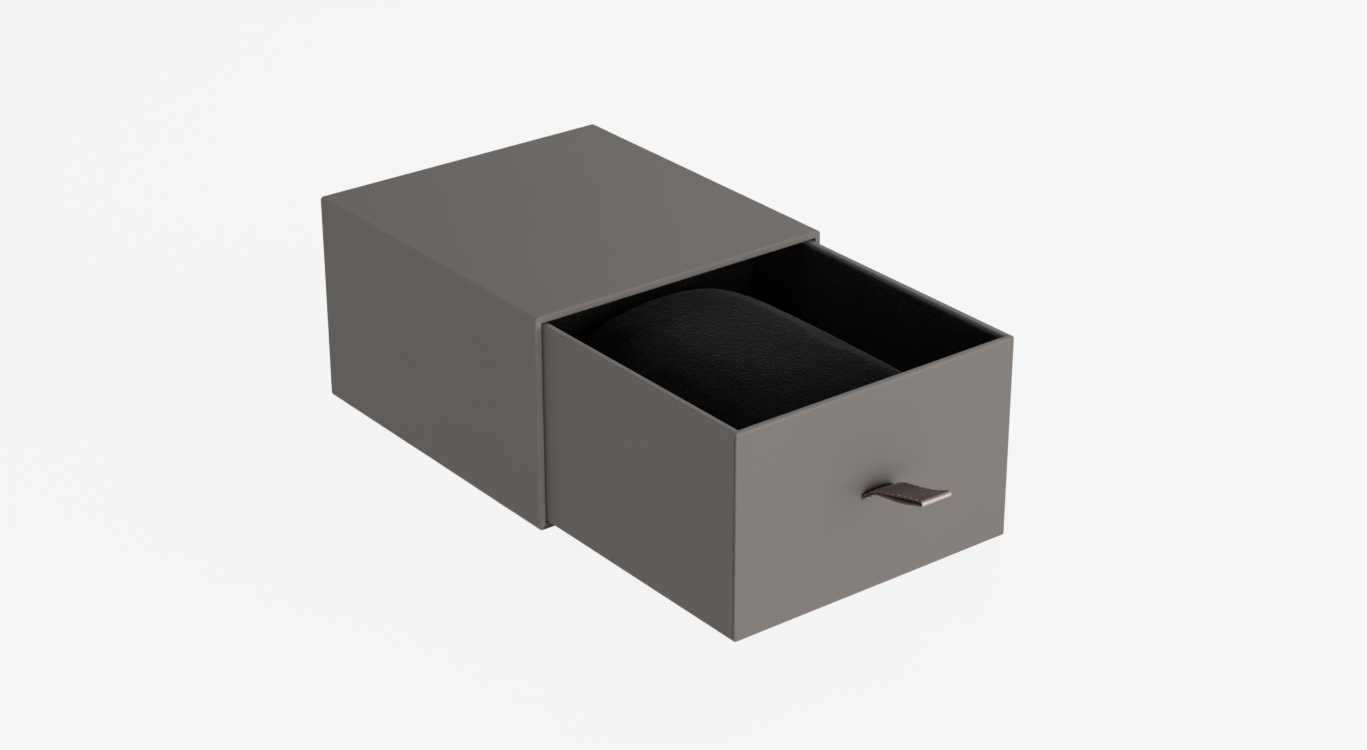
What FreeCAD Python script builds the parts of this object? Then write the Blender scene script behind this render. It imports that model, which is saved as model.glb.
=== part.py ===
import FreeCAD, Part
import math
import os
import Sketcher

# Sliding drawer gift box: a paper-wrapped board sleeve, open at both ends, and a lined tray
# that slides in it, with a ribbon pull and a loose pillow. Millimetres, +Z up.
# The origin is the centre of the sleeve's underside; the tray opens towards -Y.

# Driving dimensions.
SIZES = {
    # sleeve, outside
    "sleeve_width": 100.0,
    "sleeve_depth": 110.0,
    "sleeve_height": 65.0,
    # sheet materials
    "board_thickness": 1.5,
    "paper_thickness": 0.2,
    "stay_thickness": 0.1,
    "lining_thickness": 1.0,
    # wrapped edges and turn-ins
    "edge_radius": 1.2,
    "stay_leg": 12.0,
    "sleeve_turn_in": 12.0,
    "rim_turn_in": 14.0,
    "base_sheet_margin": 1.0,
    "lining_drop": 1.0,
    # running clearances of the drawer in the sleeve
    "side_clearance": 0.5,
    "floor_clearance": 0.3,
    "roof_clearance": 0.5,
    # how far the drawer stands out of the sleeve
    "drawer_extension": 83.0,
    # ribbon pull
    "ribbon_width": 10.0,
    "ribbon_thickness": 0.35,
    "slit_play": 0.3,
    "slit_gape": 2.2,
    "slit_drop": 1.0,
    "ribbon_drop": 0.25,
    "loop_gap": 0.1,
    "neck_reach": 4.1,
    "neck_rise": 2.75,
    "loop_reach": 22.9,
    "loop_rise": 7.3,
    "fold_radius": 0.75,
    "upper_bow": 0.3,
    "lower_bow": 0.35,
    "tail_recess": 0.4,
    "tail_gap": 1.0,
    "patch_margin": 4.0,
    # pillow, as long as the lined tray less a gap at each end
    "pillow_width": 62.0,
    "pillow_height": 48.5,
    "pillow_front_gap": 1.65,
    "pillow_back_gap": 2.0,
    "pillow_clearance": 0.3,
    "pillow_shoulder": 16.0,
    "pillow_end_round": 15.0,
    "cover_thickness": 1.0,
    "cover_clearance": 0.2,
    "core_wall": 2.5,
}

# How far a cut runs past the piece it cuts, and how closely two positions agree.
OVERCUT = 1.0
TOLERANCE = 1e-6


class Size:
    """A length that holds both its value and the expression that gives it."""

    def __init__(self, text, value):
        self.text = text
        self.value = value

    @staticmethod
    def of(thing):
        if isinstance(thing, Size):
            return thing
        return Size(str(float(thing)), float(thing))

    def joined(self, sign, other, value):
        return Size(f"({self.text} {sign} {other.text})", value)

    def __add__(self, other):
        other = Size.of(other)
        return self.joined("+", other, self.value + other.value)

    def __sub__(self, other):
        other = Size.of(other)
        return self.joined("-", other, self.value - other.value)

    def __mul__(self, other):
        other = Size.of(other)
        return self.joined("*", other, self.value * other.value)

    def __truediv__(self, other):
        other = Size.of(other)
        return self.joined("/", other, self.value / other.value)

    def __neg__(self):
        return Size(f"(-1 * {self.text})", -self.value)


class Sizes:
    """The driving dimensions by name, as lengths bound to the sheet's cells."""

    def __init__(self, sheet, numbers):
        for row, (name, number) in enumerate(numbers.items(), 1):
            sheet.set(f"A{row}", str(number))
            sheet.setAlias(f"A{row}", name)
            setattr(self, name, Size(f"Sizes.{name}", number))


doc = FreeCAD.newDocument("DrawerGiftBox")
sizes_sheet = doc.addObject("Spreadsheet::Sheet", "Sizes")
s = Sizes(sizes_sheet, SIZES)
doc.recompute()

ZERO = Size.of(0)

# Derived sizes: a wall is paper, stay, board and paper, from the outside in.
skin = s.paper_thickness
board_inset = skin + s.stay_thickness
board_inner = board_inset + s.board_thickness
wall = board_inner + s.paper_thickness
board_radius = s.edge_radius - board_inset

sleeve_half = s.sleeve_width / 2
sleeve_floor = s.paper_thickness + wall
sleeve_roof = s.sleeve_height - wall

drawer_width = s.sleeve_width - (wall + s.side_clearance) * 2
drawer_half = drawer_width / 2
drawer_depth = s.sleeve_depth
drawer_half_depth = drawer_depth / 2
drawer_height = sleeve_roof - sleeve_floor - s.floor_clearance - s.roof_clearance
drawer_lift = sleeve_floor + s.floor_clearance
base_board_top = skin + s.board_thickness
base_lining_top = base_board_top + s.lining_thickness
lining_top = drawer_height - s.lining_drop

slit_height = drawer_height / 2 - s.slit_drop
slit_half_width = s.ribbon_width / 2 + s.slit_play
slit_half_height = s.slit_gape / 2
ribbon_height = slit_height - s.ribbon_drop
# the tails end below the paper that is turned in over the rim
tail_length = drawer_height - skin - s.rim_turn_in - s.tail_gap - ribbon_height
# the front lining stands clear of the tails and their patch
front_lining_inset = board_inner + s.ribbon_thickness + s.paper_thickness

# how far in from the drawer's front and back the pillow's two ends lie
pillow_front = front_lining_inset + s.lining_thickness + s.pillow_front_gap
pillow_back = wall + s.lining_thickness + s.pillow_back_gap
pillow_length = drawer_depth - pillow_front - pillow_back


# ---------------------------------------------------------------- sketch and feature helpers
def bind(thing, prop, size):
    thing.setExpression(prop, Size.of(size).text)


def origin_plane(body, role):
    return next(item for item in body.Origin.OriginFeatures if item.Role == role)


def new_body(label, x=ZERO, y=ZERO, z=ZERO):
    body = doc.addObject("PartDesign::Body", label)
    body.Label = label
    body.AllowCompound = True
    for axis, size in (("x", x), ("y", y), ("z", z)):
        bind(body, f"Placement.Base.{axis}", size)
    return body


def new_sketch(body, role, offset=ZERO):
    sketch = body.newObject("Sketcher::SketchObject", f"{body.Name}_sketch")
    sketch.AttachmentSupport = [(origin_plane(body, role), "")]
    sketch.MapMode = "FlatFace"
    bind(sketch, "AttachmentOffset.Base.z", offset)
    return sketch


def pin(sketch, geometry, point, axis, size):
    """Hold one point of the geometry at a distance from the origin along a sketch axis."""
    if size.value == 0:
        sketch.addConstraint(
            Sketcher.Constraint("PointOnObject", geometry, point, -2 if axis == "X" else -1)
        )
        return
    if size.value > 0:
        ends, size = (-1, 1, geometry, point), size
    else:
        ends, size = (geometry, point, -1, 1), -size
    index = sketch.addConstraint(Sketcher.Constraint(f"Distance{axis}", *ends, size.value))
    name = f"at_{index}"
    sketch.renameConstraint(index, name)
    bind(sketch, f"Constraints.{name}", size)


def set_radius(sketch, geometry, size):
    index = sketch.addConstraint(Sketcher.Constraint("Radius", geometry, size.value))
    name = f"radius_{index}"
    sketch.renameConstraint(index, name)
    bind(sketch, f"Constraints.{name}", size)


def add_rectangle(sketch, left, right, low, high):
    """A rectangle whose four sides are held from the sketch's origin."""
    corners = [(left, low), (right, low), (right, high), (left, high)]
    points = [FreeCAD.Vector(u.value, v.value, 0) for u, v in corners]
    lines = [
        sketch.addGeometry(Part.LineSegment(points[i], points[(i + 1) % 4])) for i in range(4)
    ]
    for i in range(4):
        sketch.addConstraint(
            Sketcher.Constraint("Coincident", lines[i], 2, lines[(i + 1) % 4], 1)
        )
        sketch.addConstraint(Sketcher.Constraint(("Horizontal", "Vertical")[i % 2], lines[i]))
    pin(sketch, lines[0], 1, "X", left)
    pin(sketch, lines[0], 1, "Y", low)
    pin(sketch, lines[2], 1, "X", right)
    pin(sketch, lines[2], 1, "Y", high)


def add_rounded_rectangle(sketch, left, right, low, high, radius):
    """A rectangle with four equal round corners, held from the sketch's origin."""
    x0, x1, y0, y1 = left.value, right.value, low.value, high.value
    r = radius.value
    corners = [(x1 - r, y0 + r, -90), (x1 - r, y1 - r, 0), (x0 + r, y1 - r, 90), (x0 + r, y0 + r, 180)]
    arcs = []
    for cx, cy, start in corners:
        circle = Part.Circle(FreeCAD.Vector(cx, cy, 0), FreeCAD.Vector(0, 0, 1), r)
        begin, end = math.radians(start), math.radians(start + 90)
        arcs.append(sketch.addGeometry(Part.ArcOfCircle(circle, begin, end)))
    sides = [
        ((x0 + r, y0), (x1 - r, y0)),
        ((x1, y0 + r), (x1, y1 - r)),
        ((x1 - r, y1), (x0 + r, y1)),
        ((x0, y1 - r), (x0, y0 + r)),
    ]
    lines = []
    for (ax, ay), (bx, by) in sides:
        line = Part.LineSegment(FreeCAD.Vector(ax, ay, 0), FreeCAD.Vector(bx, by, 0))
        lines.append(sketch.addGeometry(line))
    for i in range(4):
        sketch.addConstraint(Sketcher.Constraint("Tangent", lines[i], 2, arcs[i], 1))
        sketch.addConstraint(Sketcher.Constraint("Tangent", arcs[i], 2, lines[(i + 1) % 4], 1))
        sketch.addConstraint(Sketcher.Constraint(("Horizontal", "Vertical")[i % 2], lines[i]))
    for i in range(1, 4):
        sketch.addConstraint(Sketcher.Constraint("Equal", arcs[0], arcs[i]))
    set_radius(sketch, arcs[0], radius)
    pin(sketch, lines[0], 1, "Y", low)
    pin(sketch, lines[1], 1, "X", right)
    pin(sketch, lines[2], 1, "Y", high)
    pin(sketch, lines[3], 1, "X", left)


def add_feature(body, kind, sketch, length, midplane=False, reverse=False):
    before = body.Tip.Shape.Volume if kind == "Pocket" else None
    feature = body.newObject(f"PartDesign::{kind}", f"{body.Name}_{kind}")
    feature.Profile = sketch
    feature.Midplane = midplane
    feature.Reversed = reverse
    feature.Refine = False
    bind(feature, "Length", length)
    sketch.Visibility = False
    doc.recompute()
    if before is not None and not feature.Shape.Volume < before:
        raise RuntimeError(f"{feature.Name} cuts nothing")
    return feature


def round_edges(body, radius, chosen):
    """Fillet the edges of the body's last feature that the test picks."""
    last = body.Tip
    names = [f"Edge{i}" for i, edge in enumerate(last.Shape.Edges, 1) if chosen(edge)]
    fillet = body.newObject("PartDesign::Fillet", f"{body.Name}_round")
    fillet.Base = (last, names)
    bind(fillet, "Radius", radius)
    doc.recompute()
    return fillet


def runs_along(edge, axis):
    """True for a straight edge that is parallel to the axis X, Y or Z."""
    if edge.Curve.TypeId != "Part::GeomLine":
        return False
    direction = edge.Curve.Direction
    return abs(abs(getattr(direction, axis.lower())) - 1) < TOLERANCE


def plate(label, x_range, y_range, z_range, place=(ZERO, ZERO, ZERO)):
    """A flat sheet or board, drawn on the XY plane and padded upwards."""
    body = new_body(label, *place)
    sketch = new_sketch(body, "XY_Plane", z_range[0])
    add_rectangle(sketch, *x_range, *y_range)
    add_feature(body, "Pad", sketch, z_range[1] - z_range[0])
    return body


def both_ways(half):
    return (-half, half)


# ---------------------------------------------------------------- sleeve
def sleeve_boards():
    """Four panels: top and bottom run the full width, the sides stand between them."""
    across = both_ways(sleeve_half - board_inset)
    along = both_ways(s.sleeve_depth / 2 - skin)
    bottom = s.paper_thickness + board_inset
    top = s.sleeve_height - board_inset
    low = (bottom, bottom + s.board_thickness)
    high = (top - s.board_thickness, top)
    bottom_board = plate("sleeve_bottom_board", across, along, low)
    top_board = plate("sleeve_top_board", across, along, high)
    for body, outer in ((bottom_board, bottom), (top_board, top)):
        level = outer.value
        round_edges(
            body,
            board_radius,
            lambda edge: runs_along(edge, "Y") and abs(edge.CenterOfMass.z - level) < TOLERANCE,
        )
    upright = (low[1], high[0])
    outside, inside = sleeve_half - board_inset, sleeve_half - board_inner
    plate("sleeve_left_board", (-outside, -inside), along, upright)
    plate("sleeve_right_board", (inside, outside), along, upright)


def sleeve_stays():
    """Paper tapes round the four long corners, between the boards and the wrap."""
    body = new_body("sleeve_corner_stays")
    low, high = s.paper_thickness + skin, s.sleeve_height - skin
    half = sleeve_half - skin
    length = s.sleeve_depth - skin * 2
    ring = new_sketch(body, "XZ_Plane")
    add_rounded_rectangle(ring, -half, half, low, high, s.edge_radius - skin)
    tape = s.stay_thickness
    add_rounded_rectangle(ring, tape - half, half - tape, low + tape, high - tape, board_radius)
    add_feature(body, "Pad", ring, length, midplane=True)
    for span, rise in (
        ((s.stay_leg - half, half - s.stay_leg), (low - OVERCUT, high + OVERCUT)),
        ((-half - OVERCUT, half + OVERCUT), (low + s.stay_leg, high - s.stay_leg)),
    ):
        gap = new_sketch(body, "XZ_Plane")
        add_rectangle(gap, *span, *rise)
        add_feature(body, "Pocket", gap, length, midplane=True)


def sleeve_wrap():
    """One sheet over the four outer faces, folded round both open ends and a way inside."""
    body = new_body("sleeve_wrap")
    low, high = s.paper_thickness, s.sleeve_height
    outline = new_sketch(body, "XZ_Plane")
    add_rounded_rectangle(outline, -sleeve_half, sleeve_half, low, high, s.edge_radius)
    add_feature(body, "Pad", outline, s.sleeve_depth, midplane=True)

    bore = new_sketch(body, "XZ_Plane")
    add_rectangle(bore, wall - sleeve_half, sleeve_half - wall, sleeve_floor, sleeve_roof)
    add_feature(body, "Pocket", bore, s.sleeve_depth, midplane=True)

    # the space that the boards and stays fill
    core = new_sketch(body, "XZ_Plane")
    half = sleeve_half - skin
    add_rounded_rectangle(core, -half, half, low + skin, high - skin, s.edge_radius - skin)
    inner = sleeve_half - board_inner
    add_rectangle(core, -inner, inner, low + board_inner, high - board_inner)
    add_feature(body, "Pocket", core, s.sleeve_depth - skin * 2, midplane=True)

    # between the two turn-ins the inside is left to the liner
    middle = new_sketch(body, "XZ_Plane")
    add_rectangle(middle, -inner, inner, low + board_inner, high - board_inner)
    add_feature(body, "Pocket", middle, s.sleeve_depth - s.sleeve_turn_in * 2, midplane=True)


def sleeve_liner():
    """Paper on the four inner faces, edge to edge with the turn-ins."""
    body = new_body("sleeve_liner")
    inner = sleeve_half - board_inner
    ring = new_sketch(body, "XZ_Plane")
    low, high = s.paper_thickness + board_inner, s.sleeve_height - board_inner
    add_rectangle(ring, -inner, inner, low, high)
    add_rectangle(ring, wall - sleeve_half, sleeve_half - wall, sleeve_floor, sleeve_roof)
    add_feature(body, "Pad", ring, s.sleeve_depth - s.sleeve_turn_in * 2, midplane=True)


def sleeve_base_sheet():
    """The sheet under the sleeve that it rests on."""
    across = both_ways(sleeve_half - s.base_sheet_margin)
    along = both_ways(s.sleeve_depth / 2 - s.base_sheet_margin)
    plate("sleeve_base_sheet", across, along, (ZERO, s.paper_thickness))


# ---------------------------------------------------------------- drawer
DRAWER_PLACE = (ZERO, -s.drawer_extension, drawer_lift)


def cut_slit(body):
    """The ribbon's slit through the front, cut from the drawer's front face inwards."""
    slit = new_sketch(body, "XZ_Plane", drawer_half_depth)
    add_rectangle(
        slit,
        *both_ways(slit_half_width),
        slit_height - slit_half_height,
        slit_height + slit_half_height,
    )
    add_feature(body, "Pocket", slit, board_inner)


def drawer_boards():
    """A base with four walls standing on it; front and back run the full width."""
    half, half_depth = drawer_half - board_inset, drawer_half_depth - board_inset
    base = plate(
        "drawer_base_board", both_ways(half), both_ways(half_depth), (skin, base_board_top), DRAWER_PLACE
    )
    round_edges(base, board_radius, lambda edge: runs_along(edge, "Z"))
    upright = (base_board_top, drawer_height - skin)
    inner_depth = drawer_half_depth - board_inner
    ends = {
        "drawer_front_board": (-half_depth, -inner_depth),
        "drawer_back_board": (inner_depth, half_depth),
    }
    for label, y_range in ends.items():
        body = plate(label, both_ways(half), y_range, upright, DRAWER_PLACE)
        outer = half_depth.value
        round_edges(
            body,
            board_radius,
            lambda edge: runs_along(edge, "Z")
            and abs(abs(edge.CenterOfMass.y) - outer) < TOLERANCE,
        )
        if label == "drawer_front_board":
            cut_slit(body)
    inner = drawer_half - board_inner
    plate("drawer_left_board", (-half, -inner), both_ways(inner_depth), upright, DRAWER_PLACE)
    plate("drawer_right_board", (inner, half), both_ways(inner_depth), upright, DRAWER_PLACE)


def drawer_stays():
    """Paper tapes round the four upright corners, between the boards and the wrap."""
    body = new_body("drawer_corner_stays", *DRAWER_PLACE)
    half, half_depth = drawer_half - skin, drawer_half_depth - skin
    height = drawer_height - skin * 2
    tape = s.stay_thickness
    ring = new_sketch(body, "XY_Plane", skin)
    add_rounded_rectangle(ring, -half, half, -half_depth, half_depth, s.edge_radius - skin)
    add_rounded_rectangle(
        ring, tape - half, half - tape, tape - half_depth, half_depth - tape, board_radius
    )
    add_feature(body, "Pad", ring, height)
    for span, reach in (
        (half - s.stay_leg, half_depth + OVERCUT),
        (half + OVERCUT, half_depth - s.stay_leg),
    ):
        gap = new_sketch(body, "XY_Plane", skin)
        add_rectangle(gap, *both_ways(span), *both_ways(reach))
        add_feature(body, "Pocket", gap, height, reverse=True)


def drawer_wrap():
    """One sheet under the base and up the four walls, turned in over the rim."""
    body = new_body("drawer_wrap", *DRAWER_PLACE)
    outline = new_sketch(body, "XY_Plane")
    add_rounded_rectangle(
        outline, *both_ways(drawer_half), *both_ways(drawer_half_depth), s.edge_radius
    )
    add_feature(body, "Pad", outline, drawer_height)

    inside = new_sketch(body, "XY_Plane", skin)
    add_rectangle(inside, *both_ways(drawer_half - wall), *both_ways(drawer_half_depth - wall))
    add_feature(body, "Pocket", inside, drawer_height, reverse=True)

    # the space that the boards and stays fill, closed by the fold over the rim
    core = new_sketch(body, "XY_Plane", skin)
    half, half_depth = drawer_half - skin, drawer_half_depth - skin
    inner, inner_depth = drawer_half - board_inner, drawer_half_depth - board_inner
    add_rounded_rectangle(
        core, *both_ways(half), *both_ways(half_depth), s.edge_radius - skin
    )
    add_rectangle(core, *both_ways(inner), *both_ways(inner_depth))
    add_feature(body, "Pocket", core, drawer_height - skin * 2, reverse=True)

    # below the turn-in the walls' inner faces are bare board
    below = new_sketch(body, "XY_Plane", skin)
    add_rectangle(below, *both_ways(inner), *both_ways(inner_depth))
    add_feature(body, "Pocket", below, drawer_height - skin - s.rim_turn_in, reverse=True)
    cut_slit(body)


def drawer_linings():
    """Suede-covered cards: the base card, and four that stand on it a little below the rim."""
    inner, inner_depth = drawer_half - board_inner, drawer_half_depth - board_inner
    plate(
        "base_lining",
        both_ways(inner),
        both_ways(inner_depth),
        (base_board_top, base_lining_top),
        DRAWER_PLACE,
    )
    card = s.lining_thickness
    upright = (base_lining_top, lining_top)
    side, back = drawer_half - wall, drawer_half_depth - wall
    front = drawer_half_depth - front_lining_inset
    between = both_ways(side - card)
    plate("front_lining", between, (-front, card - front), upright, DRAWER_PLACE)
    plate("back_lining", between, (back - card, back), upright, DRAWER_PLACE)
    plate("left_lining", (-side, card - side), (-front, back), upright, DRAWER_PLACE)
    plate("right_lining", (side - card, side), (-front, back), upright, DRAWER_PLACE)


# ---------------------------------------------------------------- ribbon
def ribbon_tails():
    """Both layers through the slit, then one tail up and one down behind the front board."""
    body = new_body("ribbon_tails", *DRAWER_PLACE)
    run = new_sketch(body, "YZ_Plane")
    behind = board_inner - drawer_half_depth
    add_rectangle(
        run,
        s.tail_recess - drawer_half_depth,
        behind,
        ribbon_height - s.ribbon_thickness,
        ribbon_height + s.ribbon_thickness,
    )
    add_feature(body, "Pad", run, s.ribbon_width, midplane=True)
    tails = new_sketch(body, "YZ_Plane")
    add_rectangle(
        tails,
        behind,
        behind + s.ribbon_thickness,
        ribbon_height - tail_length,
        ribbon_height + tail_length,
    )
    add_feature(body, "Pad", tails, s.ribbon_width, midplane=True)


def ribbon_patch():
    """A paper patch glued over the tails."""
    behind = board_inner + s.ribbon_thickness - drawer_half_depth
    half_height = tail_length + s.patch_margin
    plate(
        "ribbon_patch",
        both_ways(s.ribbon_width / 2 + s.patch_margin),
        (behind, behind + s.paper_thickness),
        (ribbon_height - half_height, ribbon_height + half_height),
        DRAWER_PLACE,
    )


def bow_radius(run, rise, bow):
    """Radius of an arc over a chord of that run and rise, bowed out by that much."""
    chord_square = run * run + rise * rise
    return (chord_square / 4 + bow * bow) / (bow * 2)


def arc_between(start, end, radius):
    """The short arc of that radius that turns from start to end against the clock."""
    (ax, ay), (bx, by) = start, end
    chord = math.hypot(bx - ax, by - ay)
    to_centre = math.sqrt(radius * radius - chord * chord / 4)
    cx = (ax + bx) / 2 - to_centre * (by - ay) / chord
    cy = (ay + by) / 2 + to_centre * (bx - ax) / chord
    circle = Part.Circle(FreeCAD.Vector(cx, cy, 0), FreeCAD.Vector(0, 0, 1), radius)
    angles = [math.atan2(v - cy, u - cx) for u, v in (start, end)]
    return Part.ArcOfCircle(circle, *angles)


def ribbon_loop():
    """The loop that stands out of the slit: two layers side by side in a neck, then bowed
    apart as a slender drop that closes in a round fold."""
    body = new_body(
        "ribbon_loop", ZERO, -s.drawer_extension - drawer_half_depth, drawer_lift + ribbon_height
    )
    tape, fold = s.ribbon_thickness, s.fold_radius
    root, neck, tip = -s.loop_gap, -s.neck_reach, fold - s.loop_reach
    run, rise = neck - tip, s.loop_rise - s.neck_rise
    upper = bow_radius(run, rise + fold - tape, s.upper_bow)
    lower = bow_radius(run, rise - fold + tape, s.lower_bow)

    def point(u, v):
        return (u.value, Size.of(v).value)

    root_top, root_low = point(root, tape), point(root, -tape)
    neck_top, neck_low = point(neck, s.neck_rise + tape), point(neck, s.neck_rise - tape)
    tip_top, tip_low = point(tip, s.loop_rise + fold), point(tip, s.loop_rise - fold)
    crotch = point(neck, s.neck_rise)
    bend_top = point(tip, s.loop_rise + fold - tape)
    bend_low = point(tip, s.loop_rise - fold + tape)

    def segment(start, end):
        return Part.LineSegment(FreeCAD.Vector(*start, 0), FreeCAD.Vector(*end, 0))

    sketch = new_sketch(body, "YZ_Plane")
    geometry = [
        segment(root_low, root_top),
        segment(root_top, neck_top),
        arc_between(neck_top, tip_top, upper.value),
        arc_between(tip_top, tip_low, fold.value + TOLERANCE),
        arc_between(tip_low, neck_low, lower.value),
        segment(neck_low, root_low),
        arc_between(crotch, bend_top, (upper - tape).value),
        arc_between(bend_top, bend_low, (fold - tape).value + TOLERANCE),
        arc_between(bend_low, crotch, (lower - tape).value),
    ]
    ids = [sketch.addGeometry(item) for item in geometry]
    outer, inner = ids[:6], ids[6:]
    for ring in (outer, inner):
        for one, other in zip(ring, ring[1:] + ring[:1]):
            sketch.addConstraint(Sketcher.Constraint("Coincident", one, 2, other, 1))
    top, bend, under = outer[2:5]
    top_in, bend_in, under_in = inner
    for one, other in ((top, top_in), (bend, bend_in), (under, under_in)):
        sketch.addConstraint(Sketcher.Constraint("Coincident", one, 3, other, 3))
    for end in (1, 2):
        sketch.addConstraint(Sketcher.Constraint("Vertical", bend, end, bend, 3))
    pin(sketch, bend, 3, "X", tip)
    pin(sketch, bend, 3, "Y", s.loop_rise)
    for line, along, height in (
        (outer[0], root, -tape),
        (outer[1], root, tape),
        (outer[2], neck, s.neck_rise + tape),
        (outer[5], neck, s.neck_rise - tape),
    ):
        pin(sketch, line, 1, "X", along)
        pin(sketch, line, 1, "Y", height)
    for item, radius in (
        (top, upper),
        (bend, fold),
        (under, lower),
        (top_in, upper - tape),
        (bend_in, fold - tape),
        (under_in, lower - tape),
    ):
        set_radius(sketch, item, radius)
    add_feature(body, "Pad", sketch, s.ribbon_width, midplane=True)


# ---------------------------------------------------------------- pillow
def pillow_form(name, inset):
    """The pillow's rounded block, or one inside it with every face that much further in."""
    body = new_body(name)
    half = s.pillow_width / 2 - inset
    outline = new_sketch(body, "XZ_Plane")
    add_rounded_rectangle(
        outline, -half, half, inset, s.pillow_height - inset, s.pillow_shoulder - inset
    )
    add_feature(body, "Pad", outline, pillow_length - inset * 2, midplane=True)
    end = (pillow_length / 2 - inset).value
    round_edges(
        body,
        s.pillow_end_round - inset,
        lambda edge: abs(abs(edge.CenterOfMass.y) - end) < TOLERANCE,
    )
    return body


def hollow_form(label, outer_inset, inner_inset):
    """A closed shell between two of the pillow's forms."""
    shell = doc.addObject("Part::Cut", label)
    shell.Label = label
    shell.Base = pillow_form(f"{label}_outside", outer_inset)
    shell.Tool = pillow_form(f"{label}_hollow", inner_inset)
    bind(shell, "Placement.Base.y", (pillow_front - pillow_back) / 2 - s.drawer_extension)
    bind(shell, "Placement.Base.z", drawer_lift + base_lining_top + s.pillow_clearance)
    return shell


def pillow():
    """A suede cover over a hollow moulded foam core."""
    core = s.cover_thickness + s.cover_clearance
    hollow_form("pillow_cover", ZERO, s.cover_thickness)
    hollow_form("pillow_core", core, core + s.core_wall)


# ---------------------------------------------------------------- build, check and write
for build in (
    sleeve_boards,
    sleeve_stays,
    sleeve_wrap,
    sleeve_liner,
    sleeve_base_sheet,
    drawer_boards,
    drawer_stays,
    drawer_wrap,
    drawer_linings,
    ribbon_tails,
    ribbon_patch,
    ribbon_loop,
    pillow,
):
    build()
doc.recompute()

failed = [item.Name for item in doc.Objects if {"Invalid", "Error"} & set(item.State)]
if failed:
    raise RuntimeError(f"these objects failed: {failed}")

helpers = {"pillow_cover_outside", "pillow_cover_hollow", "pillow_core_outside", "pillow_core_hollow"}
pieces = [
    item
    for item in doc.Objects
    if item.TypeId in ("PartDesign::Body", "Part::Cut") and item.Label not in helpers
]
for piece in pieces:
    if piece.Shape.isNull() or not piece.Shape.isValid() or piece.Shape.Volume <= 0:
        raise RuntimeError(f"{piece.Label} has no valid shape")

os.makedirs("parts", exist_ok=True)
for piece in pieces:
    piece.Shape.exportStep(f"parts/{piece.Label}.step")
    box = piece.Shape.BoundBox
    print(
        f"{piece.Label:24s} solids {len(piece.Shape.Solids)} volume {piece.Shape.Volume:10.2f}"
        f"  x {box.XMin:7.2f} {box.XMax:7.2f}  y {box.YMin:8.2f} {box.YMax:7.2f}"
        f"  z {box.ZMin:6.2f} {box.ZMax:6.2f}"
    )
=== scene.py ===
"""Papers, linings, ribbon and pillow of a sliding drawer gift box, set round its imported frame.

Metres, +Z up. The drawer opens towards -Y. Lengths written in millimetres are multiplied by MM.
"""

import math

import bmesh
import bpy
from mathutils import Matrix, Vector, noise


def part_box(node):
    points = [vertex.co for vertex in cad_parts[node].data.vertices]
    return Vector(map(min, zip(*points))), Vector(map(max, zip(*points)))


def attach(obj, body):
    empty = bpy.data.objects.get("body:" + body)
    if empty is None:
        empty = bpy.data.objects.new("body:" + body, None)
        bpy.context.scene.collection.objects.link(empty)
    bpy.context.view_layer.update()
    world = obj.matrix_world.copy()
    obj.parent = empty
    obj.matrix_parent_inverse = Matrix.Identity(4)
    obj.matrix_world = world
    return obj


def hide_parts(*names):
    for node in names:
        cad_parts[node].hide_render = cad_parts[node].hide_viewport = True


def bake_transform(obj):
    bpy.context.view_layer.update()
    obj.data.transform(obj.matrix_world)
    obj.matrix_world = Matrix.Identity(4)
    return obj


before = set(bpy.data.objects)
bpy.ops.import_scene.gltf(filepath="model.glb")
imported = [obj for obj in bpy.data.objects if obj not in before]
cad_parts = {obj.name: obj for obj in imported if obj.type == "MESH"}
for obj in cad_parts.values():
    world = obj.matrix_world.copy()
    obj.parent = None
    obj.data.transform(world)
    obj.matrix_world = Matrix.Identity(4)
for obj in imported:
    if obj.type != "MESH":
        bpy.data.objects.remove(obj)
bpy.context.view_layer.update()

MM = 0.001
# noise_vector takes its offsets from the clock unless it is seeded
NOISE_SEED = 7
noise.seed_set(NOISE_SEED)

# ---- sizes
# the paper and a whole wall, as in the CAD
PAPER = 0.2 * MM
WALL = 2.0 * MM

# how round a skin is: EDGE at its long corners, FOLD over a board's outer edge, LIP over its inner
SLEEVE_EDGE = 1.0 * MM
SLEEVE_FOLD = 0.75 * MM
SLEEVE_LIP = 0.28 * MM
DRAWER_EDGE = 0.6 * MM
DRAWER_FOLD = 0.75 * MM
DRAWER_LIP = 0.65 * MM
LEAST_RADIUS = 0.06 * MM
# the power of a fold's profile, where 2 is a circle and more is squarer
FOLD_SQUARE = 3.2
CORNER_STEPS = 8
FOLD_STEPS = 6

# how far apart a skin's rows and columns are, and how close the outermost ones are to a fold
ROW_STEP = 3.5 * MM
COLUMN_STEP = 4.0 * MM
FINE_STEP = 0.25 * MM
DRAWER_FINE_STEP = 0.3 * MM
LINER_ROW_STEP = 4.0 * MM
LINER_COLUMN_STEP = 6.0 * MM
LINER_FINE_STEP = 0.4 * MM

# the sleeve's turned-in paper: rows this far behind its lip, in millimetres
TURN_IN_ROWS = (0.3, 1.2, 3.5, 7.0)
LINER_OVERLAP = 2.0 * MM
LINER_RISE = 0.12 * MM
LINER_SOFT_EDGE = 0.1 * MM

# the drawer's turned-in paper: rows this far from its folds, in millimetres
UNDERSIDE_FLAP = 14.0 * MM
UNDERSIDE_ROWS = (9.0, 5.0, 2.5, 1.2)
RIM_TURN_IN = 14.0 * MM
RIM_ROWS = (0.2, 0.8, 2.0, 5.0)

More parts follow.
